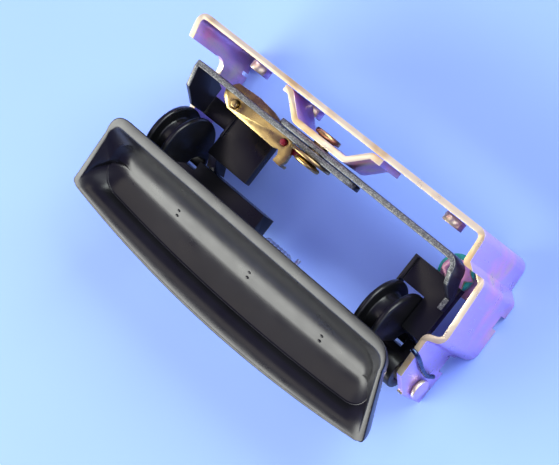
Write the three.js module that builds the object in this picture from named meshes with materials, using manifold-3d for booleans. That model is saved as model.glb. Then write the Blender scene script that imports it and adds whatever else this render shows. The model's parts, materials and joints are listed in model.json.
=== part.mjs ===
// Flap-type car door handle: a trough-shaped plastic paddle on two goosenecks, hinged in a
// pressed steel bracket, lifting two crossed levers that turn on one central rivet.
// Millimetres. +X runs along the handle, -Y points out of the door, +Z is the side of the
// finger hollow. The origin is the middle of the bracket's mounting face. Sub-parts are drawn
// with z = 0 at the bracket's upper edge, and the whole group is then raised to that origin.
import * as THREE from 'three';
import { mergeVertices } from 'three/addons/utils/BufferGeometryUtils.js';
import Module from 'manifold-3d';

const wasm = await Module();
wasm.setup();

// ---------------------------------------------------------------- driving dimensions
const SHEET = 2.2;                 // bracket steel thickness
const LEVER_T = 2;                 // lever steel thickness
const GAP = 0.3;                   // gap between touching pieces
const WEB_LEFT = -66;              // centre line of the left end plate
const WEB_RIGHT = 68.4;            // centre line of the right end plate
const WEB_DEPTH = 26;              // height of the bracket web along Z
const PLATE_DEPTH = 42;            // lowest edge of the end plates
const HINGE_Y = -54;               // paddle hinge axis
const HINGE_Z = -32;
const PIN_R = 2.5;                 // hinge pin radius
const BARREL_R = 6;                // hinge barrel radius
const PIVOT_Z = -6.75;             // central rivet axis, along Y through x = 0
const RIVET_R = 3;
const PADDLE_TILT = 24 * Math.PI / 180;
const RIM_Y = -46;                 // hinge-side rim of the paddle
const RIM_Z = 2;
const FACE_WIDTH = 34;             // rim to lip, across the hollow
const RIM_HALF = 69.5;              // half length of the rim
const LIP_HALF = 75;               // half length of the lip
const LIP_BULGE = 6.5;             // how far the lip bows out at mid length
const RIM_BAND = 4.5;              // width of the flat band along the rim
const HOOK_R = 13;                 // outer radius of a gooseneck
const HOOK_Y = -42.5;               // centre of a gooseneck's outer arc
const HOOK_Z = -18;
const THROAT_R = 4;                // slot inside a gooseneck, for the door skin's edge
const THROAT_Y = -46.3;
const THROAT_Z = -26.5;
const LEG_Y = -46;                 // lower end of a gooseneck, against its barrel's neck
const HOOK_WIDTH = 10;
const HOOK_WALL = 2.2;             // side walls of a gooseneck's groove
const HOOK_X = { left: -52.5, right: 52.5 };

// ---------------------------------------------------------------- materials
const finish = (color, roughness, metalness) =>
  new THREE.MeshStandardMaterial({ color, roughness, metalness });
const BLACK_PLASTIC = finish(0x23252a, 0.5, 0);
const ZINC = finish(0xd8c69a, 0.35, 0.9);
const BLACK_STEEL = finish(0x2c2e34, 0.45, 0.5);
const STEEL = finish(0xb8b8ba, 0.3, 1);
const RED_PLASTIC = finish(0xa02030, 0.45, 0);
const GREEN_PLASTIC = finish(0x30c8a0, 0.45, 0);

// ---------------------------------------------------------------- solid tools
function solid(geometry) {
  const bare = geometry.index ? geometry.toNonIndexed() : geometry;
  bare.deleteAttribute('normal');
  bare.deleteAttribute('uv');
  const merged = mergeVertices(bare, 1e-4);
  const mesh = new wasm.Mesh({
    numProp: 3,
    vertProperties: new Float32Array(merged.attributes.position.array),
    triVerts: new Uint32Array(merged.index.array),
  });
  return new wasm.Manifold(mesh);
}

function geometryOf(body) {
  const mesh = body.getMesh();
  const geometry = new THREE.BufferGeometry();
  const points = new Float32Array(mesh.vertProperties);
  geometry.setAttribute('position', new THREE.BufferAttribute(points, 3));
  geometry.setIndex(new THREE.BufferAttribute(new Uint32Array(mesh.triVerts), 1));
  geometry.computeVertexNormals();
  return geometry;
}

function box(x0, x1, y0, y1, z0, z1) {
  const geometry = new THREE.BoxGeometry(x1 - x0, y1 - y0, z1 - z0);
  geometry.translate((x0 + x1) / 2, (y0 + y1) / 2, (z0 + z1) / 2);
  return solid(geometry);
}

// A round bar of radius r along one axis, from a to b, centred on the other two coordinates.
function rod(axis, a, b, u, v, r, sides = 24) {
  const geometry = new THREE.CylinderGeometry(r, r, b - a, sides);
  const middle = (a + b) / 2;
  if (axis === 'x') {
    geometry.rotateZ(Math.PI / 2);
    geometry.translate(middle, u, v);
  } else if (axis === 'y') {
    geometry.translate(u, middle, v);
  } else {
    geometry.rotateX(Math.PI / 2);
    geometry.translate(u, v, middle);
  }
  return solid(geometry);
}

function extrudeOutline(points, depth) {
  const shape = new THREE.Shape(points.map(([x, y]) => new THREE.Vector2(x, y)));
  return new THREE.ExtrudeGeometry(shape, { depth, bevelEnabled: false, steps: 1 });
}

// A plate with its outline in XY, between two heights.
function plateZ(points, z0, z1) {
  const geometry = extrudeOutline(points, z1 - z0);
  geometry.translate(0, 0, z0);
  return solid(geometry);
}

// A plate with its outline given as [x, z], between two depths along Y.
function plateY(points, y0, y1) {
  const geometry = extrudeOutline(points, y1 - y0);
  geometry.rotateX(Math.PI / 2);
  geometry.translate(0, y1, 0);
  return solid(geometry);
}

// A plate with its outline given as [y, z], between two places along X.
function plateX(points, x0, x1) {
  const geometry = extrudeOutline(points, x1 - x0);
  const turn = new THREE.Matrix4().set(0, 0, 1, x0, 1, 0, 0, 0, 0, 1, 0, 0, 0, 0, 0, 1);
  geometry.applyMatrix4(turn);
  return solid(geometry);
}

// Rounds the corners of an open line: each [x, y, r] becomes an arc of radius r.
function rounded(points, steps = 7) {
  const line = [points[0].slice(0, 2)];
  for (let i = 1; i < points.length - 1; i += 1) {
    const corner = new THREE.Vector2(points[i][0], points[i][1]);
    const before = new THREE.Vector2(points[i - 1][0], points[i - 1][1]).sub(corner);
    const after = new THREE.Vector2(points[i + 1][0], points[i + 1][1]).sub(corner);
    const half = Math.acos(before.clone().normalize().dot(after.clone().normalize())) / 2;
    const reach = points[i][2] / Math.tan(half);
    const start = corner.clone().addScaledVector(before.normalize(), reach);
    const end = corner.clone().addScaledVector(after.normalize(), reach);
    const curve = new THREE.QuadraticBezierCurve(start, corner, end);
    curve.getPoints(steps).forEach((p) => line.push([p.x, p.y]));
  }
  line.push(points[points.length - 1].slice(0, 2));
  return line;
}

// The closed outline of a sheet of thickness t that follows an open line.
function sheetOutline(line, t) {
  const sides = { 1: [], '-1': [] };
  line.forEach(([x, y], i) => {
    const [px, py] = line[Math.max(i - 1, 0)];
    const [nx, ny] = line[Math.min(i + 1, line.length - 1)];
    const before = new THREE.Vector2(x - px, y - py).normalize();
    const after = new THREE.Vector2(nx - x, ny - y).normalize();
    const along = before.add(after).normalize();
    const stretch = i > 0 && i < line.length - 1
      ? 1 / Math.max(along.dot(new THREE.Vector2(nx - x, ny - y).normalize()), 0.5) : 1;
    [1, -1].forEach((side) => {
      const reach = side * t * 0.5 * stretch;
      sides[side].push([x - along.y * reach, y + along.x * reach]);
    });
  });
  return sides[1].concat(sides['-1'].reverse());
}

// ---------------------------------------------------------------- bracket
const JOG_X = 73.5;                // the right plate steps out here
const TAB_X = 68.5;                // and back in for the hinge tab
const TAB_END_Y = HINGE_Y - 4.5;
const ARM_X = WEB_LEFT + 2.6;      // the left plate leans in below the web's corner

function mountingBracket() {
  const middle = -SHEET / 2;
  const line = rounded([
    [ARM_X, TAB_END_Y, 0],
    [ARM_X, -11, 4],
    [WEB_LEFT - 0.4, middle, 3],
    [WEB_RIGHT, middle, 3],
    [WEB_RIGHT + 1, -11, 1.5],
    [JOG_X, -14, 2],
    [JOG_X + 0.8, -36, 3.5],
    [TAB_X, -38, 2.5],
    [TAB_X, TAB_END_Y, 0],
  ]);
  const blank = plateZ(sheetOutline(line, SHEET), -PLATE_DEPTH, 0);
  const far = 90;
  const leftOut = WEB_LEFT - 5;
  const leftIn = WEB_LEFT + 5;
  const cuts = [
    box(WEB_LEFT + 8, WEB_RIGHT - 8, -4, 1, -far, -WEB_DEPTH),
    // left end plate: a short tab at the top, a scallop, then the deep hinge arm
    box(leftOut, leftIn, -far, -10, -20, 1),
    rod('x', leftOut, leftIn, -16, -20, 6.5),
    box(leftOut, leftIn, -far, -16, -26.5, 1),
    box(leftOut, leftIn, -10, -8.6, -far, -38),
    // right end plate: upper edge steps down past the web corner, lower edge is notched
    plateX([[-far, 1], [-far, -25.5], [-57.8, -25.5], [-53, -16], [-40, -14.2], [-12.4, -10.5],
      [-12.4, 1]], WEB_RIGHT - 3, JOG_X + 5),
    box(WEB_RIGHT - 3, JOG_X + 5, -24, -19, -far, -38),
    box(TAB_X - 4, JOG_X + 5, -46, -39.5, -far, -38),
    rod('x', leftOut, leftIn, HINGE_Y, HINGE_Z, PIN_R + GAP),
    rod('x', TAB_X - 5, TAB_X + 5, HINGE_Y, HINGE_Z, PIN_R + GAP),
  ];
  collarPlaces.forEach(([x, z]) => cuts.push(rod('y', -5, 1, x, z, COLLAR_HOLE_R + 0.9)));
  return cuts.reduce((body, cut) => body.subtract(cut), blank);
}

// Threaded collars that take the mounting screws, on the inner side of the web.
const COLLAR_R = 4;
const COLLAR_HOLE_R = 2.5;
const COLLAR_LENGTH = 3.2;
const collarPlaces = [[-46, -20.6], [-19, -20.6], [48.5, -20.6]];

function threadedCollar([x, z]) {
  const top = -SHEET - GAP;
  return rod('y', top - COLLAR_LENGTH, top, x, z, COLLAR_R)
    .subtract(rod('y', top - COLLAR_LENGTH - 1, top + 1, x, z, COLLAR_HOLE_R));
}

// U-shaped bridge, spot-welded on the web, that carries the central rivet.
const BRIDGE_Y = -10.1;            // centre line of its front
const BRIDGE_DEPTH = 16;

function pivotBridge() {
  const foot = -SHEET - GAP - SHEET / 2;
  const line = rounded([
    [-21.5, foot, 0], [-18.5, foot, 2], [-10.5, BRIDGE_Y, 3],
    [13.5, BRIDGE_Y, 3], [20.5, foot, 2], [25, foot, 0],
  ], 4);
  return plateZ(sheetOutline(line, SHEET), -BRIDGE_DEPTH, -0.4)
    .subtract(rod('y', -14, -7, 0, PIVOT_Z, RIVET_R + GAP));
}

// ---------------------------------------------------------------- paddle
// The rim plane is tilted: s runs from the rim to the lip, d goes down into the hollow.
function paddlePoint(x, s, d) {
  const c = Math.cos(PADDLE_TILT);
  const k = Math.sin(PADDLE_TILT);
  return [x, RIM_Y - s * c + d * k, RIM_Z - s * k - d * c];
}

// Bezier control points [s, d] of the trough's two walls, from the rim plane to the floor line.
const OUTER_WALLS = {
  hinge: [[0, 0], [3, 5], [8, 11.2], [19, 11.2]],
  lip: [[FACE_WIDTH, 0], [34, 5], [31, 11], [20.2, 11.2]],
  inset: [0, 1, 4, 11],
};
const INNER_WALLS = {
  hinge: [[RIM_BAND, 0], [8.5, 4.5], [12.5, 9], [19, 9]],
  lip: [[33, 0], [30.5, 1.2], [27.5, 9], [20.2, 9]],
  inset: [2.2, 5, 9, 14],
};

function bezier(p0, p1, p2, p3, t) {
  const r = 1 - t;
  return r * r * r * p0 + 3 * r * r * t * p1 + 3 * r * t * t * p2 + t * t * t * p3;
}

const bezierPoint = (points, t) => [0, 1].map((k) => bezier(...points.map((p) => p[k]), t));

// One ring of the dish, a trapezoid with rounded corners and a bowed lip, at wall parameter t.
function dishRing(walls, t, lift) {
  const [sHinge, dHinge] = bezierPoint(walls.hinge, t);
  const [sLip, dLip] = bezierPoint(walls.lip, t);
  const inset = bezier(...walls.inset, t);
  const half = (s) => RIM_HALF + ((LIP_HALF - RIM_HALF) * s) / FACE_WIDTH - inset;
  const reach = (sLip - sHinge) / 3;
  const corner = (x, s, size) => {
    const r = Math.min(size, reach);
    const side = Math.sign(x);
    const toward = s === sHinge ? 1 : -1;
    const curve = new THREE.QuadraticBezierCurve(new THREE.Vector2(x - side * r, s),
      new THREE.Vector2(x, s), new THREE.Vector2(x, s + toward * r));
    return curve.getPoints(4).map((p) => [p.x, p.y]);
  };
  const lipSteps = Array.from({ length: 9 }, (_, i) => [half(sLip) * (0.8 - 0.2 * i), sLip]);
  const outline = [
    ...corner(-half(sHinge), sHinge, 9).reverse(), ...corner(half(sHinge), sHinge, 9),
    ...corner(half(sLip), sLip, 1.5).reverse(), ...lipSteps, ...corner(-half(sLip), sLip, 1.5),
  ];
  return outline.map(([x, s]) => {
    const depth = dHinge + ((dLip - dHinge) * (s - sHinge)) / (sLip - sHinge);
    const bow = LIP_BULGE * (1 - (x / LIP_HALF) ** 2) * (s / FACE_WIDTH) ** 2;
    return paddlePoint(x, s + bow, t === 0 ? lift : depth);
  });
}

// A solid dish: rings from the rim plane down to a flat floor strip, closed at both ends.
function dish(walls, lift) {
  const rings = [0, 0.12, 0.26, 0.4, 0.55, 0.7, 0.85].map((t) => dishRing(walls, t, lift));
  const count = rings[0].length;
  const last = (rings.length - 1) * count;
  const index = [];
  for (let start = 0; start < last; start += count) {
    for (let j = 0; j < count; j += 1) {
      const a = start + j;
      const b = start + ((j + 1) % count);
      index.push(a, b, a + count, b, b + count, a + count);
    }
  }
  const flat = rings[0].map(([x, y]) => new THREE.Vector2(x, y));
  THREE.ShapeUtils.triangulateShape(flat, []).forEach(([a, b, c]) => index.push(a, b, c));
  const floor = rings[rings.length - 1].map(([x, y]) => new THREE.Vector2(x, y));
  THREE.ShapeUtils.triangulateShape(floor, []).forEach(([a, b, c]) => {
    index.push(last + a, last + c, last + b);
  });
  const geometry = new THREE.BufferGeometry();
  geometry.setAttribute('position', new THREE.Float32BufferAttribute(rings.flat(2), 3));
  geometry.setIndex(index);
  return solid(geometry);
}

function paddleShell() {
  return dish(OUTER_WALLS, 0).subtract(dish(INNER_WALLS, -1));
}

// Points of an arc, angles in degrees.
function arc(y, z, r, from, to, steps) {
  return Array.from({ length: steps + 1 }, (_, i) => {
    const angle = THREE.MathUtils.degToRad(from + ((to - from) * i) / steps);
    return [y + r * Math.cos(angle), z + r * Math.sin(angle)];
  });
}

// A C-shaped hook from the rim over the door skin's edge and down to the hinge barrel.
function gooseneck(x) {
  const outer = arc(HOOK_Y, HOOK_Z, HOOK_R, 108, -62, 34);
  const throat = arc(THROAT_Y, THROAT_Z, THROAT_R, 0, 90, 8);
  const wall = [0.6, 0.55, 0.5, 0.45, 0.4].map((t) => {
    const [s, d] = bezierPoint(OUTER_WALLS.hinge, t);
    const [, y, z] = paddlePoint(0, s, d);
    return [y + 0.4, z - 0.2];
  });
  const leg = [
    [LEG_Y + 0.5, HINGE_Z - 2.5], [LEG_Y, HINGE_Z + 1], [THROAT_Y + THROAT_R, HINGE_Z + 2],
  ];
  const outline = outer.concat(leg, throat, wall);
  const half = HOOK_WIDTH / 2;
  const web = plateX(outline, x - half, x + half);
  const groove = arc(HOOK_Y, HOOK_Z, HOOK_R + 1, 130, -40, 24)
    .concat(arc(HOOK_Y, HOOK_Z, HOOK_R - 4, -40, 130, 24));
  return web.subtract(plateX(groove, x - half + HOOK_WALL, x + half - HOOK_WALL));
}

// Flat plate behind each hook that lifts the lever's end tab; each sits below its tab.
const FOOT_T = 3.5;
const FOOT_BACK = HOOK_Y + HOOK_R + GAP + 0.2;
const NECK_END = -43;              // upper end of a barrel's neck
const NECK_HALF = 4;               // half the neck's thickness
const STALK_T = 4;
const feet = {
  left: { x0: -44.6, x1: -24.5, start: -38.8, tip: -21.5, top: -23.5, ribX: -44.2, stalkX: -44.2 },
  right: { x0: 46, x1: 66.4, start: -41, tip: -19.7, top: -18, ribX: 47, stalkX: 58 },
};

// The left foot's ledge slopes up beside the gooseneck to the place under the lever's tab.
function leftLedge(x1, tip, top) {
  const low = top - FOOT_T;
  const section = [[-58, low], [-58, top], [-54.2, top], [x1 + 1, low + 0.8], [x1 + 1, low]];
  return plateY(section, FOOT_BACK, tip);
}

function leverFoot(side) {
  const { x0, x1, start, tip, top, ribX, stalkX } = feet[side];
  const slab = box(x0, x1, start, tip, top - FOOT_T, top);
  const ridge = box(ribX, ribX + 1, tip - 10, tip - 0.4, top - 1, top + 1);
  const hook = HOOK_X[side];
  const clear = HOOK_WIDTH / 2 + GAP;
  const stalk = plateX([
    [NECK_END, HINGE_Z - NECK_HALF], [start + 6, top - FOOT_T - 1], [start + 6, top - 1],
    [start, top - 1], [NECK_END, HINGE_Z + NECK_HALF],
  ], stalkX, stalkX + STALK_T);
  const plate = side === 'left' ? slab.add(leftLedge(x0, tip, top)) : slab;
  return plate.add(ridge).add(stalk)
    .subtract(box(hook - clear, hook + clear, -80, FOOT_BACK, -60, 0));
}

// Hinge barrel of each hook, turning on the pin, with a flat neck up to the foot's stalk.
const barrelSpans = { left: [-58, -13], right: [46, 62] };

function hingeBarrel(side) {
  const [x0, x1] = barrelSpans[side];
  const hook = HOOK_X[side];
  const clear = HOOK_WIDTH / 2 + GAP;
  const neck = box(x0, x1, HINGE_Y, NECK_END - GAP, HINGE_Z - NECK_HALF, HINGE_Z + NECK_HALF);
  return rod('x', x0, x1, HINGE_Y, HINGE_Z, BARREL_R).add(neck)
    .subtract(rod('x', x0 - 1, x1 + 1, HINGE_Y, HINGE_Z, PIN_R + GAP))
    .subtract(box(hook - clear, hook + clear, LEG_Y - 1.1, -10, -60, 0));
}

function hingePin() {
  const head = TAB_X + SHEET / 2 + GAP;
  return rod('x', ARM_X - 4, head + 1, HINGE_Y, HINGE_Z, PIN_R)
    .add(rod('x', head, head + 1.8, HINGE_Y, HINGE_Z, PIN_R + 1.3));
}

// Retaining washer pressed on one end of the pin.
function pinWasher(x) {
  return rod('x', x, x + 1.2, HINGE_Y, HINGE_Z, PIN_R + 2.4)
    .subtract(rod('x', x - 1, x + 3, HINGE_Y, HINGE_Z, PIN_R + GAP));
}

// Torsion spring of round wire, wound on a plastic sleeve round the pin.
const SPRING_R = 5;
const WIRE_R = 0.8;
const SLEEVE_SPAN = [-12.5, 9];

// Points of a coil round the hinge axis, from x0 towards +X, starting at an angle in degrees.
function coil(x0, radius, turns, start) {
  const steps = Math.round(turns * 12);
  return Array.from({ length: steps + 1 }, (_, i) => {
    const angle = THREE.MathUtils.degToRad(start) + (Math.PI * 2 * turns * i) / steps;
    const x = x0 + (turns * (WIRE_R * 2 + GAP) * i) / steps;
    return new THREE.Vector3(x, HINGE_Y + radius * Math.cos(angle), HINGE_Z + radius * Math.sin(angle));
  });
}

function wire(points) {
  const section = new THREE.Shape();
  section.absarc(0, 0, WIRE_R, 0, Math.PI * 2);
  const extrudePath = new THREE.CatmullRomCurve3(points, false, 'centripetal');
  const steps = points.length;
  return solid(new THREE.ExtrudeGeometry(section, {
    steps, extrudePath, curveSegments: 4, bevelEnabled: false,
  }));
}

function returnSpring() {
  const turns = coil(SLEEVE_SPAN[0] + 4.5, SPRING_R, 6, -90);
  const first = turns[0];
  const last = turns[turns.length - 1];
  const fixedLeg = [new THREE.Vector3(first.x, first.y - 9, first.z + 0.4)];
  const movingLeg = [new THREE.Vector3(last.x, last.y + 6, last.z - 1)];
  return wire([...fixedLeg, ...turns, ...movingLeg]);
}

// Wire clip bent over the right tab's upper edge, running down outside it to the pin's head.
function outerSpring() {
  const face = TAB_X + SHEET / 2 + WIRE_R + GAP;
  const path = [
    [TAB_X - 0.5, -43.8, -12.5], [TAB_X + 1.1, -44, -12.6], [face - 0.1, -44.4, -13.6],
    [face, -45.4, -17], [face, -48, -24], [face, -49, -30], [face, -48.2, -34.5],
  ];
  return wire(path.map((point) => new THREE.Vector3(...point)));
}

function springSleeve() {
  return rod('x', ...SLEEVE_SPAN, HINGE_Y, HINGE_Z, SPRING_R - WIRE_R - 2 * GAP)
    .subtract(rod('x', SLEEVE_SPAN[0] - 1, SLEEVE_SPAN[1] + 1, HINGE_Y, HINGE_Z, PIN_R + GAP));
}

// ---------------------------------------------------------------- levers
const LEFT_LEVER_Y = [-16.3, -14.3];
const RIGHT_LEVER_Y = [-14, -12];
const LEVER_TOP = -2;
const LEVER_BOTTOM = -11.5;
const TAB_BOTTOM = -22.2;
const RIGHT_TAB_BOTTOM = -17;
const TAB_END = -28.8;             // lower end of both tabs, over the feet

// Crossed lever: a strip across the pivot, with its outer end bent into a tab over the foot.
function strip(inner, outer, [y0, y1]) {
  const side = Math.sign(outer);
  const rise = LEVER_TOP - LEVER_BOTTOM;
  const end = arc(inner, PIVOT_Z, rise / 2, side * 90 + 180, side * 90, 8);
  const outline = end.concat([[outer, PIVOT_Z + side * rise / 2], [outer, PIVOT_Z - side * rise / 2]]);
  return plateY(outline, y0, y1).subtract(rod('y', y0 - 1, y1 + 1, 0, PIVOT_Z, RIVET_R + GAP));
}

function leftLever() {
  const outer = -57;
  const tab = plateX([
    [LEFT_LEVER_Y[1], LEVER_TOP], [LEFT_LEVER_Y[1], LEVER_BOTTOM], [-18, TAB_BOTTOM],
    [TAB_END, TAB_BOTTOM], [TAB_END, -14], [-24, LEVER_TOP - 3], [-17, LEVER_TOP],
  ], outer, outer + LEVER_T);
  return strip(16, outer + 0.5, LEFT_LEVER_Y).add(tab);
}

function rightLever() {
  const face = 66.2;
  const middle = (RIGHT_LEVER_Y[0] + RIGHT_LEVER_Y[1]) / 2;
  const line = rounded([[40, middle, 0], [face, middle, 4.5], [face, TAB_END - 0.2, 0]]);
  const below = plateX([
    [-10, LEVER_BOTTOM], [-17, LEVER_BOTTOM], [-23.5, RIGHT_TAB_BOTTOM], [-40, RIGHT_TAB_BOTTOM],
    [-40, -30], [-10, -30],
  ], 30, 80);
  const above = plateX([
    [-17, 0], [-17, LEVER_TOP], [-21, -5.5], [-24.5, -13.6], [TAB_END, -13.6], [TAB_END, -30],
    [-40, -30], [-40, 0],
  ], 30, 80);
  const bent = plateZ(sheetOutline(line, LEVER_T), -25, LEVER_TOP).subtract(below).subtract(above);
  return strip(-13, 40.5, RIGHT_LEVER_Y).add(bent);
}

// Central rivet through both levers and the bridge, with its two heads.
function pivotRivet() {
  const back = BRIDGE_Y + SHEET / 2 + GAP + 1.8;
  const front = LEFT_LEVER_Y[0] - 1.3 - 3 * GAP;
  return rod('y', front - 0.5, back - 0.5, 0, PIVOT_Z, RIVET_R)
    .add(rod('y', front - 1.6, front, 0, PIVOT_Z, 5))
    .add(rod('y', back - 1.8, back, 0, PIVOT_Z, 5));
}

function pivotWasher() {
  const y1 = LEFT_LEVER_Y[0] - GAP;
  return rod('y', y1 - 1.2, y1, 0, PIVOT_Z, 8)
    .subtract(rod('y', y1 - 3, y1 + 1, 0, PIVOT_Z, RIVET_R + GAP));
}

// ---------------------------------------------------------------- release lever
const RELEASE_TOP = LEVER_BOTTOM - GAP;
const RELEASE_T = 1.6;
const RELEASE_PIN = [-40, -18.8];
const CLIP_PIN = [-15.2, -18.6];

function releaseLever() {
  const outline = [
    [-47.5, -16], [-46, -19], [-42, -21.6], [-30, -21.9], [-18, -22.2], [-15.4, -21.6],
    [-14.4, -23.2], [-14.6, -25.6], [-11.2, -25.9], [-10.2, -23.4], [-10.5, -20.2],
    [-12.3, -17.2], [-15, -15.3], [-26, -12.6], [-34, -11.8], [-44, -12.4],
  ];
  const lip = plateZ([[-14.6, -25.6], [-11.2, -25.9], [-10.9, -24.9], [-14.5, -24.6]],
    RELEASE_TOP - 4.5, RELEASE_TOP - 1);
  return plateZ(outline, RELEASE_TOP - RELEASE_T, RELEASE_TOP).add(lip)
    .subtract(rod('z', RELEASE_TOP - 9, RELEASE_TOP + 1, ...CLIP_PIN, 1.2 + GAP))
    .subtract(rod('z', RELEASE_TOP - 9, RELEASE_TOP + 1, ...RELEASE_PIN, 1.5 + GAP));
}

function releaseRivet() {
  const low = RELEASE_TOP - RELEASE_T - GAP;
  return rod('z', low - 1.2, low, ...RELEASE_PIN, 3)
    .add(rod('z', low - 0.5, RELEASE_TOP + 1.4, ...RELEASE_PIN, 1.5));
}

// Plastic clip that holds the end of a pull rod in the release lever's eye.
function rodClip() {
  const top = RELEASE_TOP - RELEASE_T - GAP;
  const [x, y] = CLIP_PIN;
  return rod('z', top - 2.6, top, x, y, 2.6)
    .add(rod('z', top - 1, RELEASE_TOP + 1.2, x, y, 1.2))
    .add(box(x, x + 7.4, y - 1.6, y + 1.4, top - 2.6, top));
}

// ---------------------------------------------------------------- lock lever
const LOCK_PIN = [57.7, -16.8];
const LOCK_PIN_R = 2;
const SHELF_Z = -29.5;

// Angle welded inside the right end plate; its shelf carries the lock lever's pin.
function lockShelf() {
  const inner = WEB_RIGHT - SHEET / 2 - GAP;
  const front = -SHEET - GAP;
  return box(54, inner, -22, -12, SHELF_Z, SHELF_Z + 1.5)
    .add(box(inner - 5, inner, -13, front - 1.6, SHELF_Z, SHELF_Z + 1.5))
    .add(box(inner - 1.5, inner, -9.5, front - 1.6, SHELF_Z, -19))
    .subtract(rod('z', SHELF_Z - 1, SHELF_Z + 2, ...LOCK_PIN, LOCK_PIN_R + GAP));
}

function lockPin() {
  return rod('z', SHELF_Z - GAP - 1, -22.9, ...LOCK_PIN, LOCK_PIN_R)
    .add(rod('z', SHELF_Z - GAP - 1, SHELF_Z - GAP, ...LOCK_PIN, 3.4));
}

function lockBush() {
  const low = SHELF_Z + 1.5 + GAP;
  return rod('z', low, low + 2, ...LOCK_PIN, 6.5, 32)
    .subtract(rod('z', low - 1, low + 3, ...LOCK_PIN, LOCK_PIN_R + GAP));
}

function lockLever() {
  const low = SHELF_Z + 3.5 + 2 * GAP;
  const [x, y] = LOCK_PIN;
  const outline = arc(x, y, 4.6, 90, 270, 10).concat([
    [x + 3, y - 5.5], [x + 6, y - 4], [x + 5, y - 0.5], [x + 7.4, y + 1.2], [x + 5, y + 2.6],
    [x + 3.5, y + 4.6],
  ]);
  return plateZ(outline, low, low + 1.5)
    .subtract(rod('z', low - 1, low + 3, ...LOCK_PIN, LOCK_PIN_R + GAP));
}

// ---------------------------------------------------------------- assembly
const group = new THREE.Group();
group.position.z = WEB_DEPTH / 2;

function add(name, body, material) {
  const mesh = new THREE.Mesh(geometryOf(body), material);
  mesh.name = name;
  group.add(mesh);
}

add('mounting_bracket', mountingBracket(), ZINC);
['left', 'middle', 'right'].forEach((side, i) => {
  add(`threaded_collar_${side}`, threadedCollar(collarPlaces[i]), ZINC);
});
add('pivot_bridge', pivotBridge(), ZINC);
add('paddle_shell', paddleShell(), BLACK_PLASTIC);
['left', 'right'].forEach((side) => {
  add(`gooseneck_${side}`, gooseneck(HOOK_X[side]), BLACK_PLASTIC);
  add(`lever_foot_${side}`, leverFoot(side), BLACK_PLASTIC);
  add(`hinge_barrel_${side}`, hingeBarrel(side), BLACK_PLASTIC);
});
add('hinge_pin', hingePin(), ZINC);
add('pin_washer_left', pinWasher(ARM_X - SHEET / 2 - GAP - 1.2), STEEL);
add('spring_sleeve', springSleeve(), BLACK_PLASTIC);
add('return_spring', returnSpring(), STEEL);
add('outer_spring', outerSpring(), STEEL);
add('left_lever', leftLever(), BLACK_STEEL);
add('right_lever', rightLever(), BLACK_STEEL);
add('pivot_rivet', pivotRivet(), ZINC);
add('pivot_washer', pivotWasher(), ZINC);
add('release_lever', releaseLever(), ZINC);
add('release_rivet', releaseRivet(), STEEL);
add('rod_clip', rodClip(), RED_PLASTIC);
add('lock_shelf', lockShelf(), ZINC);
add('lock_pin', lockPin(), STEEL);
add('lock_bush', lockBush(), GREEN_PLASTIC);
add('lock_lever', lockLever(), ZINC);

export default group;
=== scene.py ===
"""Looks of a flap-type car door handle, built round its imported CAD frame."""

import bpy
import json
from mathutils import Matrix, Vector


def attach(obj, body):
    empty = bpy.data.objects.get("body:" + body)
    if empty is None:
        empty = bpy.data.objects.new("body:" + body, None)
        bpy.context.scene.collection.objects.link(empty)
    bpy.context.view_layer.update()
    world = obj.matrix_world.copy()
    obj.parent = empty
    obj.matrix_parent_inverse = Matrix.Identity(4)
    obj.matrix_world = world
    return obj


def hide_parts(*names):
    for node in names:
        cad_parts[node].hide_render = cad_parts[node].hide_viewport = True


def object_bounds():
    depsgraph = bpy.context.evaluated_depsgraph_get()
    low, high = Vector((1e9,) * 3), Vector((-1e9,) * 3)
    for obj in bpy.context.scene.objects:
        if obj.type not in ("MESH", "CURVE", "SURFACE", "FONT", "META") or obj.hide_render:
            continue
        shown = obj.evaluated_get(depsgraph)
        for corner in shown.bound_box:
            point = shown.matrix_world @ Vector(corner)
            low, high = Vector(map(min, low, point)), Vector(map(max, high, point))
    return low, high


bl_info = {
    "name": "Car Door Handle",
    "version": (1, 0, 0),
    "blender": (4, 5, 0),
    "location": "View3D > Sidebar > Door Handle",
    "description": "Moulded paddle, plated bracket and coated levers of a flap door handle",
    "category": "Object",
}

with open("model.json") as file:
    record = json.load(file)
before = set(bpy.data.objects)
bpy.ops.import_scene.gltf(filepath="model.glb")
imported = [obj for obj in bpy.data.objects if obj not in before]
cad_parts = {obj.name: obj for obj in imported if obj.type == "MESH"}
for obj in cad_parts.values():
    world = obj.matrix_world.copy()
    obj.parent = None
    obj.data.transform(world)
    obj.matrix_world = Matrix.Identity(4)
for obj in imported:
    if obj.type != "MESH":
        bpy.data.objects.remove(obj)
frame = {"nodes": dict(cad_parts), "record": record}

import json
import math

import bmesh
import bpy
import numpy as np
from mathutils import Matrix, Vector

CAD_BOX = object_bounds()
NODES = frame["nodes"]
BODY_OF = {
    node: body
    for body, nodes in frame["record"]["behaviour"]["bodies"].items()
    for node in nodes
}
SLOT_OF = {row["node"]: row["material_slot"] for row in frame["record"]["subparts"]}
MM = 0.001


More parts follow.
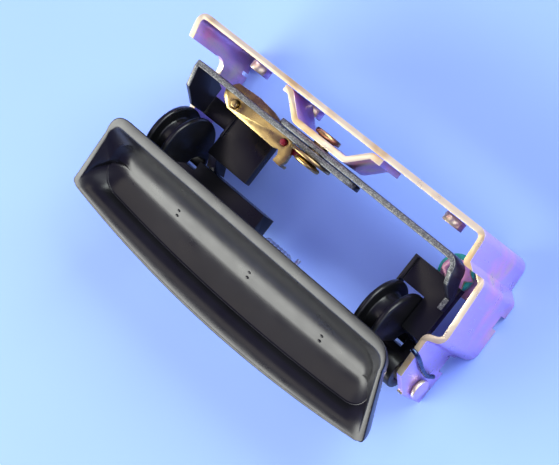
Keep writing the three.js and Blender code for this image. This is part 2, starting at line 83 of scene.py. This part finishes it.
# ---------------------------------------------------------------- settings
class PaddleSettings(bpy.types.PropertyGroup):
    """Sizes and colour of the moulded paddle."""

    tilt: bpy.props.FloatProperty(
        name="Tilt", description="Slope of the rim plane from hinge side to lip",
        default=math.radians(24), subtype="ANGLE")
    rim_half: bpy.props.FloatProperty(
        name="Rim half length", description="Half length of the hinge-side rim",
        default=0.0695, subtype="DISTANCE", unit="LENGTH")
    lip_half: bpy.props.FloatProperty(
        name="Lip half length", description="Half length of the lip",
        default=0.075, subtype="DISTANCE", unit="LENGTH")
    face_width: bpy.props.FloatProperty(
        name="Face width", description="Rim to lip, across the finger hollow",
        default=0.034, subtype="DISTANCE", unit="LENGTH")
    lip_bulge: bpy.props.FloatProperty(
        name="Lip bulge", description="How far the lip bows out at mid length",
        default=0.0065, subtype="DISTANCE", unit="LENGTH")
    colour: bpy.props.FloatVectorProperty(
        name="Colour", description="Colour of the moulding", subtype="COLOR",
        default=(0.0045, 0.0047, 0.0053), min=0, max=1)


class MetalSettings(bpy.types.PropertyGroup):
    """Edge rounding and colours of the pressed steel parts."""

    edge: bpy.props.FloatProperty(
        name="Edge rounding", description="Width of the rounded sheet edges",
        default=0.0004, subtype="DISTANCE", unit="LENGTH")
    gold: bpy.props.FloatVectorProperty(
        name="Gold plating", description="Yellow tint of the plating", subtype="COLOR",
        default=(0.80, 0.60, 0.32), min=0, max=1)
    pink: bpy.props.FloatVectorProperty(
        name="Pink plating", description="Pink tint of the plating", subtype="COLOR",
        default=(0.84, 0.42, 0.60), min=0, max=1)
    lilac: bpy.props.FloatVectorProperty(
        name="Lilac plating", description="Lilac tint of the plating", subtype="COLOR",
        default=(0.64, 0.44, 0.80), min=0, max=1)


class StageSettings(bpy.types.PropertyGroup):
    """Floor and light."""

    floor_colour: bpy.props.FloatVectorProperty(
        name="Floor", description="Colour of the floor", subtype="COLOR",
        default=(0.25, 0.39, 0.92), min=0, max=1)
    key_power: bpy.props.FloatProperty(
        name="Key power", description="Power of the low soft light", default=112.0,
        subtype="POWER", unit="POWER")
    top_power: bpy.props.FloatProperty(
        name="Top power", description="Power of the overhead soft light", default=1.25,
        subtype="POWER", unit="POWER")
    ceiling_power: bpy.props.FloatProperty(
        name="Ceiling power",
        description="Power of the back fill light; the ceiling light gets a share of it", default=80.0,
        subtype="POWER", unit="POWER")


# ---------------------------------------------------------------- shader tools
class Shader:
    """A material under construction: a Principled surface and the nodes that feed it."""

    def __init__(self, name, roughness, metallic):
        self.material = bpy.data.materials.new(name)
        self.material.use_nodes = True
        self.tree = self.material.node_tree
        self.surface = self.tree.nodes["Principled BSDF"]
        self.surface.inputs["Roughness"].default_value = roughness
        self.surface.inputs["Metallic"].default_value = metallic
        self.coords = self.tree.nodes.new("ShaderNodeTexCoord").outputs["Object"]

    def link(self, source, target):
        self.tree.links.new(source, target)

    def noise(self, scale, detail=3.0, stretch=(1, 1, 1), distortion=0.0):
        """Noise whose scale is in features per metre, stretched along the axes."""
        mapping = self.tree.nodes.new("ShaderNodeMapping")
        mapping.inputs["Scale"].default_value = stretch
        self.link(self.coords, mapping.inputs["Vector"])
        texture = self.tree.nodes.new("ShaderNodeTexNoise")
        texture.inputs["Scale"].default_value = scale
        texture.inputs["Detail"].default_value = detail
        texture.inputs["Distortion"].default_value = distortion
        self.link(mapping.outputs["Vector"], texture.inputs["Vector"])
        return texture.outputs["Fac"]

    def ramp(self, value, stops):
        """Colour ramp through (position, colour) stops."""
        node = self.tree.nodes.new("ShaderNodeValToRGB")
        elements = node.color_ramp.elements
        while len(elements) < len(stops):
            elements.new(1.0)
        for element, (place, colour) in zip(elements, stops):
            element.position = place
            element.color = (*colour, 1.0)
        self.link(value, node.inputs["Fac"])
        return node.outputs["Color"]

    def levels(self, value, low, high, out_low, out_high):
        """Value remapped from low..high to out_low..out_high, clamped."""
        node = self.tree.nodes.new("ShaderNodeMapRange")
        for key, number in (("From Min", low), ("From Max", high),
                            ("To Min", out_low), ("To Max", out_high)):
            node.inputs[key].default_value = number
        self.link(value, node.inputs["Value"])
        return node.outputs["Result"]

    def mix(self, factor, first, second):
        """Colour mix; first and second are sockets or plain colours."""
        node = self.tree.nodes.new("ShaderNodeMix")
        node.data_type = "RGBA"
        self.link(factor, node.inputs["Factor"])
        for key, value in (("A", first), ("B", second)):
            socket = [s for s in node.inputs if s.name == key and s.type == "RGBA"][0]
            if isinstance(value, bpy.types.NodeSocket):
                self.link(value, socket)
            else:
                socket.default_value = (*value, 1.0)
        return [s for s in node.outputs if s.type == "RGBA"][0]

    def attribute(self, name):
        node = self.tree.nodes.new("ShaderNodeAttribute")
        node.attribute_name = name
        return node.outputs["Fac"]

    def bump(self, height, distance, strength=1.0):
        node = self.tree.nodes.new("ShaderNodeBump")
        node.inputs["Strength"].default_value = strength
        node.inputs["Distance"].default_value = distance
        self.link(height, node.inputs["Height"])
        self.link(node.outputs["Normal"], self.surface.inputs["Normal"])

    def set(self, key, source):
        self.link(source, self.surface.inputs[key])


# ---------------------------------------------------------------- materials
def moulded_plastic(colour):
    """Fine-grained satin plastic, slightly polished where fingers and flow made it so."""
    s = Shader("moulded_black_plastic", 0.34, 0.0)
    s.surface.inputs["Specular IOR Level"].default_value = 0.38
    cloud = s.noise(35, 4)
    dark = tuple(c * 0.75 for c in colour)
    light = tuple(c * 1.6 for c in colour)
    s.set("Base Color", s.ramp(cloud, [(0.3, dark), (0.7, light)]))
    s.set("Roughness", s.levels(s.noise(120, 5), 0.3, 0.7, 0.26, 0.36))
    s.bump(s.noise(2600, 2), 0.00002, 0.3)
    return s.material


def zinc_plating(metal):
    """Yellow passivated zinc: gold, pink and lilac clouds, pale along the sheared edges, where the pale
    cream is partly a painted highlight.
    """
    s = Shader("zinc_plating", 0.3, 0.72)
    cloud = s.noise(30, 2, distortion=0.8)
    tint = s.ramp(cloud, [(0.30, metal.gold), (0.40, metal.pink), (0.50, metal.lilac),
                          (0.66, metal.lilac), (0.78, metal.pink)])
    speck = s.levels(s.noise(1100, 3), 0.28, 0.42, 0.0, 1.0)
    worn = s.mix(speck, (0.62, 0.50, 0.48), tint)
    # Sheared edges: the gold bands are the plating's own colour; the pale cream end is partly a painted
    # highlight of the light from above.
    edge_gold_and_highlight = s.ramp(s.noise(55, 3), [(0.38, (0.78, 0.56, 0.26)), (0.50, (1.0, 0.88, 0.58))])
    edge = s.attribute("cut")
    s.set("Base Color", s.mix(edge, worn, edge_gold_and_highlight))
    s.set("Roughness", s.levels(s.noise(160, 4), 0.3, 0.7, 0.26, 0.40))
    s.bump(s.noise(420, 3), 0.00003, 0.2)
    return s.material


def gold_plating():
    """Deeper yellow zinc of the small release lever."""
    s = Shader("gold_zinc", 0.3, 1.0)
    tint = s.ramp(s.noise(70, 4, distortion=0.8),
                  [(0.3, (0.22, 0.15, 0.06)), (0.5, (0.50, 0.37, 0.14)), (0.7, (0.34, 0.24, 0.12))])
    s.set("Base Color", tint)
    s.set("Roughness", s.levels(s.noise(300, 5), 0.3, 0.7, 0.22, 0.42))
    s.bump(s.noise(900, 4), 0.00005, 0.3)
    return s.material


def coated_steel():
    """Black coated sheet whose sheared edges show grey, speckled metal."""
    s = Shader("black_coated_steel", 0.35, 0.3)
    grain = s.noise(2600, 6)
    face = s.ramp(s.noise(60, 4), [(0.3, (0.010, 0.010, 0.016)), (0.7, (0.024, 0.025, 0.034))])
    bare = s.ramp(grain, [(0.36, (0.05, 0.052, 0.05)), (0.52, (0.12, 0.125, 0.115)),
                          (0.68, (0.34, 0.35, 0.31))])
    edge = s.attribute("cut")
    s.set("Base Color", s.mix(edge, face, bare))
    s.set("Roughness", s.levels(grain, 0.3, 0.7, 0.28, 0.45))
    s.bump(s.noise(800, 5), 0.00008, 0.3)
    return s.material


def drawn_wire(name, dark, light):
    """Drawn steel with fine lines, bright or blued."""
    s = Shader(name, 0.25, 1.0)
    s.set("Base Color", s.ramp(s.noise(150, 3), [(0.3, dark), (0.7, light)]))
    lines = s.noise(1600, 2, stretch=(0.05, 1, 1))
    s.set("Roughness", s.levels(lines, 0.3, 0.7, 0.18, 0.34))
    s.bump(lines, 0.00003, 0.3)
    return s.material


def nylon(name, colour):
    """Coloured nylon with slight flow clouds."""
    s = Shader(name, 0.35, 0.0)
    dark = tuple(c * 0.6 for c in colour)
    s.set("Base Color", s.ramp(s.noise(260, 3), [(0.3, dark), (0.7, colour)]))
    s.set("Roughness", s.levels(s.noise(500, 3), 0.3, 0.7, 0.28, 0.42))
    s.bump(s.noise(1500, 2), 0.00003, 0.3)
    return s.material


def floor_card(colour):
    """Smooth pale card."""
    s = Shader("pale_card", 0.6, 0.0)
    pale = tuple(min(1.0, c * 1.04) for c in colour)
    s.set("Base Color", s.ramp(s.noise(9, 2), [(0.3, colour), (0.7, pale)]))
    s.bump(s.noise(900, 3), 0.00003, 0.2)
    return s.material


def material_for(slot):
    """The shared material of a record slot, made when first asked for."""
    metal = bpy.context.scene.handle_metal
    makers = {
        "black_plastic": lambda: moulded_plastic(tuple(bpy.context.scene.handle_paddle.colour)),
        "zinc_steel": lambda: zinc_plating(metal),
        "gold": gold_plating,
        "black_steel": coated_steel,
        "bright_steel": lambda: drawn_wire("bright_steel", (0.48, 0.48, 0.50), (0.74, 0.74, 0.74)),
        "red_plastic": lambda: nylon("red_nylon", (0.30, 0.004, 0.02)),
        "green_plastic": lambda: nylon("green_nylon", (0.03, 0.75, 0.55)),
    }
    if slot not in MATERIALS:
        MATERIALS[slot] = makers[slot]()
    return MATERIALS[slot]


MATERIALS = {}


# ---------------------------------------------------------------- mesh tools
def piece_from(name, mesh, node, material=None):
    """Links a finished mesh as the piece that stands for a CAD node."""
    piece = bpy.data.objects.new(name, mesh)
    bpy.context.scene.collection.objects.link(piece)
    mesh.materials.clear()
    mesh.materials.append(material or material_for(SLOT_OF[node]))
    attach(piece, BODY_OF[node])
    return piece


def mark_cut_faces(mesh, flat):
    """Face attribute 'cut': 1 on a sheet's sheared edges, which face up or down unless it lies flat."""
    normals = np.empty(len(mesh.polygons) * 3, dtype=np.float32)
    mesh.polygons.foreach_get("normal", normals)
    upward = np.abs(normals.reshape(-1, 3)[:, 2]) > 0.5
    cut = upward != flat
    attribute = mesh.attributes.new("cut", "FLOAT", "FACE")
    attribute.data.foreach_set("value", cut.astype(np.float32))


def rounded_copy(node, edge, flat=False, segments=2, material=None):
    """A node's solid with flat areas joined up and its sharp edges rolled to a small radius."""
    mesh = NODES[node].data.copy()
    mesh.name = node + "_skin"
    work = bmesh.new()
    work.from_mesh(mesh)
    bmesh.ops.remove_doubles(work, verts=work.verts, dist=1e-6)
    bmesh.ops.dissolve_limit(work, angle_limit=math.radians(0.8), verts=work.verts, edges=work.edges)
    work.to_mesh(mesh)
    work.free()
    mark_cut_faces(mesh, flat)
    mesh.shade_smooth()
    piece = piece_from(node + "_piece", mesh, node, material)
    bevel = piece.modifiers.new("edge", "BEVEL")
    bevel.width = edge
    bevel.segments = segments
    bevel.limit_method = "ANGLE"
    bevel.angle_limit = math.radians(32)
    bevel.harden_normals = True
    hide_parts(node)
    return piece


def tube_of_quads(points):
    """Quads over a grid of points shaped (rows, columns, 3), each row closed into a ring."""
    rows, columns = points.shape[:2]
    index = np.arange(rows * columns).reshape(rows, columns)
    index = np.hstack([index, index[:, :1]])
    quads = np.stack([index[:-1, :-1], index[:-1, 1:], index[1:, 1:], index[1:, :-1]], axis=-1)
    return quads.reshape(-1, 4)


def mesh_from(name, points, faces):
    """A smooth mesh from an (n, 3) array and a list of faces, normals turned outwards."""
    mesh = bpy.data.meshes.new(name)
    mesh.from_pydata(points.tolist(), [], [list(map(int, face)) for face in faces])
    work = bmesh.new()
    work.from_mesh(mesh)
    bmesh.ops.remove_doubles(work, verts=work.verts, dist=1e-7)
    bmesh.ops.recalc_face_normals(work, faces=work.faces)
    work.to_mesh(mesh)
    work.free()
    mesh.shade_smooth()
    return mesh


# ---------------------------------------------------------------- paddle
# Wall curves are cubic: four control points [s, d], with s from the rim towards the lip and
# d down into the hollow, in millimetres. The third row is how far the ends step in.
OUTER_WALL = np.array([
    [[0, 0], [3, 5], [8, 11.2], [19, 11.2]],
    [[34, 0], [34, 5], [31, 11], [20.2, 11.2]],
    [[0, 0], [1, 0], [4, 0], [11, 0]],
], float)
INNER_WALL = np.array([
    [[4.5, 0], [8.5, 4.5], [12.5, 9], [19, 9]],
    [[33, 0], [30.5, 1.2], [27.5, 9], [20.2, 9]],
    [[2.2, 0], [5, 0], [9, 0], [14, 0]],
], float)
# The lip's inner side is two quadratics, from the rolled edge to the parting line and on to
# the floor, with a fine ridge of flash along the line.
LIP_ROLL = np.array([[33.6, 0.0], [29.3, 0.3], [28.0, 5.6]])
LIP_FLOOR = np.array([[28.0, 5.6], [22.6, 9.0], [20.2, 9.0]])
FLASH = 0.22
FLASH_SPREAD = 0.008
RIM_Y = -46.0
RIM_Z = 15.0
EDGE_ROUND = 0.6
OUTER_HINGE_CORNER = 9.0
INNER_HINGE_CORNER = 5.5
LIP_CORNER = 1.5
# The oval pips: places along the handle, then s and d of their middle and their half sizes.
MARK_PLACES = (-33.0, 4.0, 39.7)
MARK_S = 20.2
MARK_D = 9.0
MARK_STEP = 1.0
MARK_LENGTH = 0.75
MARK_WIDTH = 0.5
MARK_HEIGHT = 0.4
HINGE_Y = -54.0
HINGE_Z = -19.0


def cubic(points, t):
    """Cubic through the first and last control point, for every t: sum of the Bernstein terms."""
    t = np.asarray(t, float)[:, None, None]
    r = 1 - t
    p = np.moveaxis(points, 1, 0)[:, None]
    return r**3 * p[0] + 3 * r * r * t * p[1] + 3 * r * t * t * p[2] + t**3 * p[3]


def lip_curve(t):
    """Inner lip side at every t: the roll for t under a half, then the floor, with the flash."""
    first = t < 0.5
    u = np.where(first, 2 * t, 2 * t - 1)[:, None]
    points = np.where(first[:, None, None], LIP_ROLL[None], LIP_FLOOR[None])
    curve = (1 - u)**2 * points[:, 0] + 2 * u * (1 - u) * points[:, 1] + u * u * points[:, 2]
    ridge = np.exp(-((t - 0.5) / FLASH_SPREAD)**2)
    return curve - FLASH * ridge[:, None] * np.array([0.3, 1.0])


def quadratic(p0, p1, p2, steps):
    """Quadratic from p0 to p2 pulled by p1, without its last point."""
    t = np.linspace(0, 1, steps, endpoint=False)[:, None, None]
    return (1 - t)**2 * p0 + 2 * (1 - t) * t * p1 + t * t * p2


def dish_profile():
    """Section of the dish, from the floor outside, up, over the rounded rim and down inside.

    Also tells which of its rows are on the inner side.
    """
    fall = np.linspace(1, 0.035, 30)
    rise = np.concatenate([
        np.linspace(0.035, 0.47, 22), np.linspace(0.48, 0.52, 11), np.linspace(0.53, 1, 24)])
    outer = cubic(OUTER_WALL, fall)
    inner = cubic(INNER_WALL, rise)
    inner[:, 1] = lip_curve(rise)
    flat = np.array([[EDGE_ROUND, 0], [-EDGE_ROUND, 0], [EDGE_ROUND, 0]])
    corner_out = OUTER_WALL[:, 0]
    corner_in = np.array([INNER_WALL[0, 0], LIP_ROLL[0], INNER_WALL[2, 0]])
    over = quadratic(outer[-1], corner_out, corner_out + flat, 6)
    under = quadratic(corner_in - flat, corner_in, inner[0], 6)
    rows = np.concatenate([outer[:-1], over, under, inner])
    inside = np.arange(len(rows)) >= len(rows) - len(inner) - len(under)
    return rows, inside


def dish_outline(rows, inside, paddle):
    """Rings of the dish: a trapezoid with rounded corners whose lip bows out.

    For every row the corner points are worked out from the row's hinge and lip edges, each
    corner is a quadratic arc, and the long sides are straight runs. Then the lip side is
    pushed out by bulge * (1 - (x / half length)^2) * (s / width)^2.
    """
    width = paddle.face_width / MM
    rim_half = paddle.rim_half / MM
    lip_half = paddle.lip_half / MM
    s_hinge, s_lip = rows[:, 0, 0], rows[:, 1, 0]
    d_hinge, d_lip = rows[:, 0, 1], rows[:, 1, 1]
    inset = rows[:, 2, 0]
    half_hinge = rim_half + (lip_half - rim_half) * s_hinge / width - inset
    half_lip = rim_half + (lip_half - rim_half) * s_lip / width - inset
    reach = (s_lip - s_hinge) / 2.1
    grow = np.where(inside, np.maximum(d_hinge, d_lip), 0)
    hinge_size = np.where(inside, INNER_HINGE_CORNER, OUTER_HINGE_CORNER) + grow
    lip_size = LIP_CORNER + grow
    arcs = []
    corners = ((-1, half_hinge, s_hinge, 1, hinge_size, True),
               (1, half_hinge, s_hinge, 1, hinge_size, False),
               (1, half_lip, s_lip, -1, lip_size, True),
               (-1, half_lip, s_lip, -1, lip_size, False))
    t = np.linspace(0, 1, 9)
    for side, half, s, toward, size, reverse in corners:
        r = np.minimum(size, reach)[:, None]
        x, s = (side * half)[:, None], s[:, None]
        bend_x = (1 - t)**2 * (x - side * r) + (2 * (1 - t) * t + t * t) * x
        bend_s = ((1 - t)**2 + 2 * (1 - t) * t) * s + t * t * (s + toward * r)
        step = slice(None, None, -1) if reverse else slice(None)
        arcs.append(np.stack([bend_x[:, step], bend_s[:, step]], axis=-1))
    sides = []
    for before, after, steps in ((0, 1, 48), (1, 2, 12), (2, 3, 48), (3, 0, 12)):
        w = np.linspace(0, 1, steps + 2)[None, 1:-1, None]
        sides += [arcs[before], arcs[before][:, -1:] * (1 - w) + arcs[after][:, :1] * w]
    ring = np.concatenate(sides, axis=1)
    x, s = ring[..., 0], ring[..., 1]
    span = np.maximum(s_lip - s_hinge, 1e-6)[:, None]
    d = d_hinge[:, None] + (d_lip - d_hinge)[:, None] * (s - s_hinge[:, None]) / span
    bow = paddle.lip_bulge / MM * (1 - (x / lip_half)**2) * (s / width)**2
    return x, s + bow, d


def tilted(x, s, d, paddle):
    """Points of the paddle's own plane set in place: s leans away and down by the tilt."""
    c, k = math.cos(paddle.tilt), math.sin(paddle.tilt)
    return np.stack([x, RIM_Y - s * c + d * k, RIM_Z - s * k - d * c], axis=-1) * MM


def paddle_mesh(paddle):
    """The dish as one closed grid of rings, with its two floors capped."""
    points = tilted(*dish_outline(*dish_profile(), paddle), paddle)
    rows, columns = points.shape[:2]
    faces = tube_of_quads(points).tolist()
    faces.append(list(range(columns)))
    faces.append(list(range((rows - 1) * columns, rows * columns)))
    return mesh_from("paddle_shell_skin", points.reshape(-1, 3), faces)


def grip_marks_mesh(paddle):
    """Pairs of small oval pips on the hollow's floor.

    A pip is a half-sunk ellipsoid: centre + length * cos(u) along the handle
    + width * sin(u) * cos(v) across it + height * sin(u) * sin(v) up from the floor.
    """
    u = np.linspace(0, np.pi, 13)[:, None]
    v = np.linspace(0, 2 * np.pi, 12, endpoint=False)[None]
    points, faces = [], []
    for x0 in MARK_PLACES:
        for step in (-MARK_STEP, MARK_STEP):
            x = x0 + MARK_LENGTH * np.cos(u) + 0 * v
            s = MARK_S + step + MARK_WIDTH * np.sin(u) * np.cos(v)
            d = MARK_D - MARK_HEIGHT * np.sin(u) * np.sin(v)
            pip = tilted(x, s, d, paddle)
            faces.append(tube_of_quads(pip) + sum(len(p) for p in points))
            points.append(pip.reshape(-1, 3))
    return mesh_from("grip_marks_skin", np.concatenate(points), np.concatenate(faces).tolist())


# ---------------------------------------------------------------- springs
# Millimetres. The clip is a bent wire over the right hinge tab, given by its corners.
WIRE_RADIUS = 0.8
COIL_START_X = -8.0
COIL_RADIUS = 5.0
COIL_TURNS = 6
COIL_PITCH = 1.9
COIL_START_ANGLE = -90
CLIP_CORNERS = np.array([
    [68.0, -43.8, 0.5], [69.6, -44, 0.4], [70.6, -44.4, -0.6], [70.7, -45.4, -4],
    [70.7, -48, -11], [70.7, -49, -17], [70.7, -48.2, -21.5]])


def swept_wire(name, path, radius, side, sides=12):
    """Round wire along a path that never runs along the given side direction.

    At every path point the section's two axes are the tangent crossed with the side, and
    the tangent crossed with that; the ring is radius * (cos, sin) of the angle round it.
    The ends are closed with a cap.
    """
    tangent = np.gradient(path, axis=0)
    tangent /= np.linalg.norm(tangent, axis=1)[:, None]
    first = np.cross(tangent, np.array(side, float))
    first /= np.linalg.norm(first, axis=1)[:, None]
    second = np.cross(tangent, first)
    angle = np.linspace(0, 2 * np.pi, sides, endpoint=False)[None, :, None]
    points = path[:, None] + radius * (np.cos(angle) * first[:, None] + np.sin(angle) * second[:, None])
    faces = tube_of_quads(points).tolist()
    faces.append(list(range(sides)))
    faces.append(list(range(points.shape[0] * sides - sides, points.shape[0] * sides)))
    return mesh_from(name, points.reshape(-1, 3), faces)


def coil_path(x0, radius, turns, pitch, start):
    """Helix round the hinge axis: x grows by the pitch each turn."""
    turn = np.linspace(0, turns, int(turns * 36) + 1)
    angle = math.radians(start) + 2 * np.pi * turn
    return np.stack([x0 + pitch * turn, HINGE_Y + radius * np.cos(angle),
                     HINGE_Z + radius * np.sin(angle)], axis=-1)


def eased(points, repeats=2):
    """Corner cutting: every span gets points at a quarter and three quarters, ends kept."""
    for _ in range(repeats):
        a, b = points[:-1], points[1:]
        middle = np.stack([0.75 * a + 0.25 * b, 0.25 * a + 0.75 * b], axis=1).reshape(-1, 3)
        points = np.concatenate([points[:1], middle[1:-1], points[-1:]])
    return points


# ---------------------------------------------------------------- operators
class HANDLE_OT_bracket(bpy.types.Operator):
    """Pressed and plated bracket, its rivet bridge and the lock shelf"""

    bl_idname = "handle.bracket"
    bl_label = "Bracket"

    def execute(self, context):
        edge = context.scene.handle_metal.edge
        for node in ("mounting_bracket", "pivot_bridge"):
            rounded_copy(node, edge)
        rounded_copy("lock_shelf", edge, flat=True)
        return {"FINISHED"}


class HANDLE_OT_collars(bpy.types.Operator):
    """Threaded collars behind the mounting holes"""

    bl_idname = "handle.collars"
    bl_label = "Collars"

    def execute(self, context):
        for side in ("left", "middle", "right"):
            rounded_copy(f"threaded_collar_{side}", context.scene.handle_metal.edge)
        return {"FINISHED"}


class HANDLE_OT_paddle(bpy.types.Operator):
    """Moulded trough that the fingers pull"""

    bl_idname = "handle.paddle"
    bl_label = "Paddle"

    def execute(self, context):
        mesh = paddle_mesh(context.scene.handle_paddle)
        piece = piece_from("paddle_shell_piece", mesh, "paddle_shell")
        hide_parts("paddle_shell")
        piece_from("grip_marks_piece", grip_marks_mesh(context.scene.handle_paddle), "paddle_shell")
        return {"FINISHED"}


class HANDLE_OT_goosenecks(bpy.types.Operator):
    """Hooks of the paddle with their lever feet and hinge barrels"""

    bl_idname = "handle.goosenecks"
    bl_label = "Goosenecks"

    def execute(self, context):
        for side in ("left", "right"):
            for part, edge in (("gooseneck", 0.0009), ("lever_foot", 0.0007), ("hinge_barrel", 0.0006)):
                rounded_copy(f"{part}_{side}", edge)
        return {"FINISHED"}


class HANDLE_OT_hinge(bpy.types.Operator):
    """Hinge pin, its washer and the spring sleeve"""

    bl_idname = "handle.hinge"
    bl_label = "Hinge"

    def execute(self, context):
        edges = (("hinge_pin", 0.0008), ("pin_washer_left", 0.0003), ("spring_sleeve", 0.0003))
        for node, edge in edges:
            rounded_copy(node, edge)
        return {"FINISHED"}


class HANDLE_OT_springs(bpy.types.Operator):
    """Return spring on its sleeve and the wire spring round the right hinge tab"""

    bl_idname = "handle.springs"
    bl_label = "Springs"

    def execute(self, context):
        turns = coil_path(COIL_START_X, COIL_RADIUS, COIL_TURNS, COIL_PITCH, COIL_START_ANGLE)
        first, last = turns[0], turns[-1]
        legs = (first + [0, -9, 0.4], last + [0, 6, -1.0])
        coiled = np.concatenate([[legs[0]], turns, [legs[1]]])
        hooked = eased(CLIP_CORNERS, 3)
        blued = drawn_wire("blued_wire", (0.03, 0.05, 0.10), (0.08, 0.12, 0.22))
        for node, path, side, finish in (("return_spring", coiled, (1, 0, 0), None),
                                         ("outer_spring", hooked, (0, 1, 0), blued)):
            mesh = swept_wire(node + "_skin", path * MM, WIRE_RADIUS * MM, side)
            piece = piece_from(node + "_piece", mesh, node, finish)
            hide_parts(node)
        return {"FINISHED"}


class HANDLE_OT_levers(bpy.types.Operator):
    """Crossed levers of black coated sheet"""

    bl_idname = "handle.levers"
    bl_label = "Levers"

    def execute(self, context):
        for node in ("left_lever", "right_lever"):
            rounded_copy(node, context.scene.handle_metal.edge)
        return {"FINISHED"}


class HANDLE_OT_rivets(bpy.types.Operator):
    """Central rivet, its washer and the release lever's rivet"""

    bl_idname = "handle.rivets"
    bl_label = "Rivets"

    def execute(self, context):
        for node, edge in (("pivot_rivet", 0.0007), ("pivot_washer", 0.0003), ("release_rivet", 0.0005)):
            rounded_copy(node, edge, material=material_for("gold"))
        return {"FINISHED"}


class HANDLE_OT_release(bpy.types.Operator):
    """Release lever with the clip for its pull rod"""

    bl_idname = "handle.release"
    bl_label = "Release lever"

    def execute(self, context):
        rounded_copy("release_lever", 0.0003, flat=True, material=material_for("gold"))
        rounded_copy("rod_clip", 0.0004)
        return {"FINISHED"}


class HANDLE_OT_lock(bpy.types.Operator):
    """Lock lever on its bush and pin"""

    bl_idname = "handle.lock"
    bl_label = "Lock lever"

    def execute(self, context):
        for node in ("lock_pin", "lock_bush"):
            rounded_copy(node, 0.0004)
        rounded_copy("lock_lever", 0.0003, flat=True)
        return {"FINISHED"}


# ---------------------------------------------------------------- stage
LENS = 108.5
CAMERA_PLACE = (0.2758, 0.0002, 0.4920)
CAMERA_RIGHT = Vector((0.6671, 0.6138, -0.4221))
CAMERA_UP = Vector((-0.5681, 0.7858, 0.2447))
FLOOR_HALF = 3.0
FLOOR_GAP = 0.0005
SKY_COLOUR = (0.38, 0.28, 0.95, 1)
SKY_STRENGTH = 0.45
CEILING_SHARE = 0.25


def soft_light(name, aim, direction, distance, size, power, colour):
    """Area light at a distance along a direction from the aim, facing it."""
    light = bpy.data.lights.new(name, "AREA")
    light.shape = "RECTANGLE"
    light.size, light.size_y = size
    light.energy = power
    light.color = colour
    lamp = bpy.data.objects.new(name, light)
    away = Vector(direction).normalized()
    lamp.location = aim + away * distance
    lamp.rotation_euler = away.to_track_quat("Z", "Y").to_euler()
    bpy.context.scene.collection.objects.link(lamp)


class HANDLE_OT_stage(bpy.types.Operator):
    """Camera, pale floor and soft light"""

    bl_idname = "handle.stage"
    bl_label = "Stage"

    def execute(self, context):
        stage = context.scene.handle_stage
        low, high = CAD_BOX
        camera_data = bpy.data.cameras.new("camera")
        camera_data.lens = LENS
        camera = bpy.data.objects.new("camera", camera_data)
        back = CAMERA_RIGHT.cross(CAMERA_UP)
        turn = Matrix((CAMERA_RIGHT, CAMERA_UP, back)).transposed().to_4x4()
        camera.matrix_world = Matrix.Translation(CAMERA_PLACE) @ turn
        context.scene.collection.objects.link(camera)
        context.scene.camera = camera

        half = FLOOR_HALF
        height = low.z - FLOOR_GAP
        mesh = bpy.data.meshes.new("floor")
        mesh.from_pydata([(-half, -half, height), (half, -half, height), (half, half, height),
                          (-half, half, height)], [], [(0, 1, 2, 3)])
        mesh.materials.append(floor_card(tuple(stage.floor_colour)))
        floor = bpy.data.objects.new("floor", mesh)
        context.scene.collection.objects.link(floor)

        world = bpy.data.worlds.new("sky")
        world.use_nodes = True
        sky = world.node_tree.nodes["Background"]
        sky.inputs["Color"].default_value = SKY_COLOUR
        sky.inputs["Strength"].default_value = SKY_STRENGTH
        context.scene.world = world
        context.scene.view_settings.view_transform = "Standard"
        aim = (low + high) / 2
        ceiling = stage.ceiling_power * CEILING_SHARE
        soft_light("low_key", aim, (-0.47, -0.75, 0.46), 2.4, (2.6, 1.2),
                   stage.key_power, (1.0, 1.02, 0.95))
        soft_light("overhead", aim, (-0.48, -0.08, 0.87), 1.2, (0.5, 0.5),
                   stage.top_power, (1.0, 0.93, 0.74))
        soft_light("ceiling", aim, (0.62, 0.12, 0.78), 2.4, (1.8, 1.8),
                   ceiling, (0.92, 0.98, 1.0))
        soft_light("back_fill", aim, (0.30, 0.78, 0.55), 2.4, (1.8, 1.5),
                   stage.ceiling_power, (0.92, 1.0, 0.95))
        return {"FINISHED"}


class HANDLE_PT_pieces(bpy.types.Panel):
    """Lists the pieces of the door handle"""

    bl_label = "Door Handle"
    bl_idname = "HANDLE_PT_pieces"
    bl_space_type = "VIEW_3D"
    bl_region_type = "UI"
    bl_category = "Door Handle"

    def draw(self, context):
        layout = self.layout
        for group in ("handle_paddle", "handle_metal", "handle_stage"):
            settings = getattr(context.scene, group)
            box = layout.box()
            for key in settings.bl_rna.properties.keys():
                if key not in {"rna_type", "name"}:
                    box.prop(settings, key)
        for operator in OPERATORS:
            layout.operator(operator.bl_idname)


OPERATORS = (
    HANDLE_OT_stage, HANDLE_OT_bracket, HANDLE_OT_collars, HANDLE_OT_paddle, HANDLE_OT_goosenecks,
    HANDLE_OT_hinge, HANDLE_OT_springs, HANDLE_OT_levers, HANDLE_OT_rivets, HANDLE_OT_release,
    HANDLE_OT_lock,
)
GROUPS = {"handle_paddle": PaddleSettings, "handle_metal": MetalSettings, "handle_stage": StageSettings}


def register():
    for entry in (*GROUPS.values(), *OPERATORS, HANDLE_PT_pieces):
        bpy.utils.register_class(entry)
    for name, group in GROUPS.items():
        setattr(bpy.types.Scene, name, bpy.props.PointerProperty(type=group))


def unregister():
    for name in GROUPS:
        delattr(bpy.types.Scene, name)
    for entry in reversed((*GROUPS.values(), *OPERATORS, HANDLE_PT_pieces)):
        bpy.utils.unregister_class(entry)


def main():
    """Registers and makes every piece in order."""
    register()
    for operator in OPERATORS:
        name = operator.bl_idname.split(".")[1]
        getattr(bpy.ops.handle, name)()


if __name__ == "__main__":
    main()
